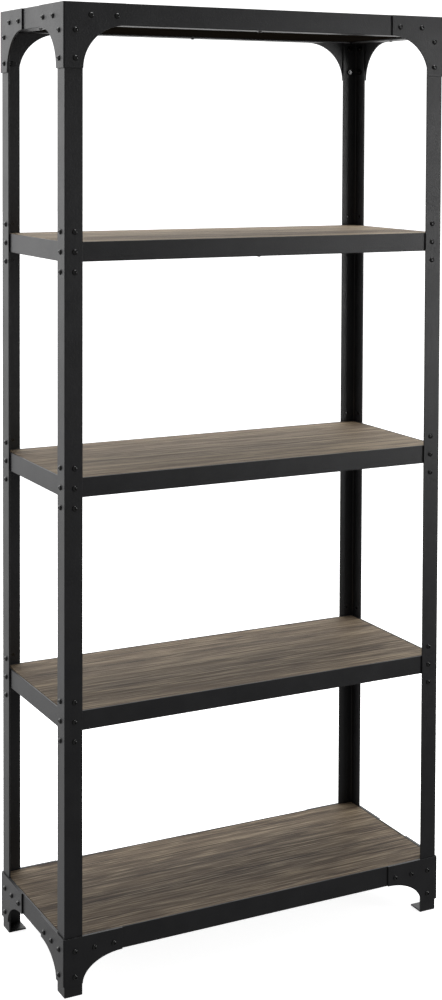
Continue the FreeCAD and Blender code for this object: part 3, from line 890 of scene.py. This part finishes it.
class BOOKCASE_OT_board_screws(bpy.types.Operator):
    """Screws that hold the boards from below"""
    bl_idname = "bookcase.board_screws"
    bl_label = "Board screws"

    def execute(self, context):
        sizes = context.scene.bookcase_fasteners
        tree = button_bolt_tree()
        for level in LEVELS:
            node = level + "_board_screws"
            seats = []
            for low, high in islands(node):
                middle = (low + high) / 2
                seats.append((Vector((middle.x, middle.y, low.z + sizes.screw_height)), Vector((0, 0, -1))))
            piece = grow("blackened_" + node, tree, seats, {
                "Head Radius": sizes.screw_radius,
                "Head Height": sizes.screw_height,
                "Socket Radius": sizes.screw_radius * SCREW_SOCKET,
                "Shank Radius": sizes.screw_radius * SCREW_SHANK,
                "Shank Length": SCREW_LENGTH,
            }, "black_oxide_steel")
            settle(piece, node)
        return {"FINISHED"}


# ---- stage ---------------------------------------------------------------------------------------
# Where the eye stands, in metres; its turn to the right, nod and tilt, in radians; its lens in
# millimetres; and the shift that keeps the posts upright in the frame.
EYE = (-1.5343, -3.0665, 1.5649)
EYE_TURN = (0.49016, -0.04039, 0.00489)
FOCAL_LENGTH = 62.73
LENS_SHIFT = (-0.049, -0.2947)
FLOOR_REACH = 30.0


def softbox(name, location, target, size, power):
    light = bpy.data.lights.new(name, "AREA")
    light.shape = "RECTANGLE"
    light.size, light.size_y = size
    light.energy = power
    lamp = bpy.data.objects.new(name, light)
    lamp.location = location
    lamp.rotation_euler = (Vector(target) - Vector(location)).to_track_quat("-Z", "Y").to_euler()
    bpy.context.scene.collection.objects.link(lamp)
    return lamp


class BOOKCASE_OT_stage(bpy.types.Operator):
    """Pale floor, soft studio lights and the camera"""
    bl_idname = "bookcase.stage"
    bl_label = "Stage"

    def execute(self, context):
        scene = context.scene
        settings = scene.bookcase_stage
        builder = bmesh.new()
        bmesh.ops.create_grid(builder, x_segments=1, y_segments=1, size=FLOOR_REACH)
        floor = new_piece("studio_floor", builder, "studio_paper")
        floor.visible_diffuse = False
        floor.visible_glossy = False

        softbox("side_softbox", (-1.9, 2.9, 2.1), (-0.4, 0.0, 1.3), (1.8, 2.4), settings.side_power)
        softbox("top_softbox", (0.5, 0.5, 4.2), (0.0, 0.0, 0.0), (3.2, 3.2), settings.top_power)
        softbox("front_softbox", (2.8, -2.9, 1.25), (0.2, 0.0, 1.1), (1.2, 1.9), settings.front_power)

        world = bpy.data.worlds.new("studio")
        scene.world = world
        world.use_nodes = True
        tree = world.node_tree
        tree.nodes.clear()
        # White walls behind the bookcase, a dim room in front of it and below it.
        direction = add_node(tree, "ShaderNodeTexCoord").outputs["Generated"]
        parts = add_node(tree, "ShaderNodeSeparateXYZ", inputs={0: direction})
        wall = add_node(tree, "ShaderNodeMapRange", {"interpolation_type": "SMOOTHSTEP"},
                        {"Value": parts.outputs["Y"], "From Min": -0.05, "From Max": 0.6,
                         "To Min": 0.0, "To Max": settings.wall})
        rise = add_node(tree, "ShaderNodeMapRange", {"interpolation_type": "SMOOTHSTEP"},
                        {"Value": parts.outputs["Z"], "From Min": -0.72, "From Max": 0.1,
                         "To Min": 0.05, "To Max": 1.0})
        glow = add_node(tree, MATH, {"operation": "MULTIPLY_ADD"},
                        (wall, rise, settings.room))
        seen = add_node(tree, "ShaderNodeLightPath")
        strength = add_node(tree, MATH, {"operation": "MAXIMUM"},
                            (glow, seen.outputs["Is Camera Ray"]))
        sky = add_node(tree, "ShaderNodeBackground",
                       inputs={"Color": (1.0, 1.0, 1.0, 1.0), "Strength": strength})
        add_node(tree, "ShaderNodeOutputWorld", inputs={"Surface": sky})
        scene.view_settings.view_transform = "Standard"

        lens = bpy.data.cameras.new("bookcase_camera")
        camera = bpy.data.objects.new("bookcase_camera", lens)
        lens.sensor_width = 36.0
        lens.lens = FOCAL_LENGTH
        lens.shift_x, lens.shift_y = LENS_SHIFT
        camera.location = EYE
        turn, nod, tilt = EYE_TURN
        ahead = Vector((math.sin(turn) * math.cos(nod), math.cos(turn) * math.cos(nod), math.sin(nod)))
        level_right = Vector((math.cos(turn), -math.sin(turn), 0))
        upward = level_right.cross(ahead)
        right = level_right * math.cos(tilt) + upward * math.sin(tilt)
        above = upward * math.cos(tilt) - level_right * math.sin(tilt)
        camera.rotation_euler = Matrix((right, above, -ahead)).transposed().to_euler()
        scene.collection.objects.link(camera)
        scene.camera = camera
        return {"FINISHED"}


# ---- panel and registration ----------------------------------------------------------------------
OPERATORS = (
    BOOKCASE_OT_posts,
    BOOKCASE_OT_foot_plates,
    BOOKCASE_OT_end_rails,
    BOOKCASE_OT_shelf_rails,
    BOOKCASE_OT_gussets,
    BOOKCASE_OT_boards,
    BOOKCASE_OT_bolts,
    BOOKCASE_OT_nuts,
    BOOKCASE_OT_board_screws,
    BOOKCASE_OT_stage,
)


class BOOKCASE_PT_panel(bpy.types.Panel):
    """Sizes, colours and the steps that build the bookcase"""
    bl_label = "Bookcase"
    bl_idname = "BOOKCASE_PT_panel"
    bl_space_type = "VIEW_3D"
    bl_region_type = "UI"
    bl_category = "Bookcase"

    def draw(self, context):
        layout = self.layout
        for name in SETTINGS:
            settings = getattr(context.scene, name)
            for key in settings.__annotations__:
                layout.prop(settings, key)
        for operator in OPERATORS:
            layout.operator(operator.bl_idname)


SETTINGS = {
    "bookcase_steel": SteelSettings,
    "bookcase_wood": WoodSettings,
    "bookcase_fasteners": FastenerSettings,
    "bookcase_stage": StageSettings,
}
CLASSES = (*SETTINGS.values(), *OPERATORS, BOOKCASE_PT_panel)


def register():
    for cls in CLASSES:
        bpy.utils.register_class(cls)
    for name, cls in SETTINGS.items():
        setattr(bpy.types.Scene, name, bpy.props.PointerProperty(type=cls))


def unregister():
    for name in SETTINGS:
        delattr(bpy.types.Scene, name)
    for cls in reversed(CLASSES):
        bpy.utils.unregister_class(cls)


def main():
    register()
    for operator in OPERATORS:
        group, name = operator.bl_idname.split(".")
        getattr(getattr(bpy.ops, group), name)()


if __name__ == "__main__":
    main()
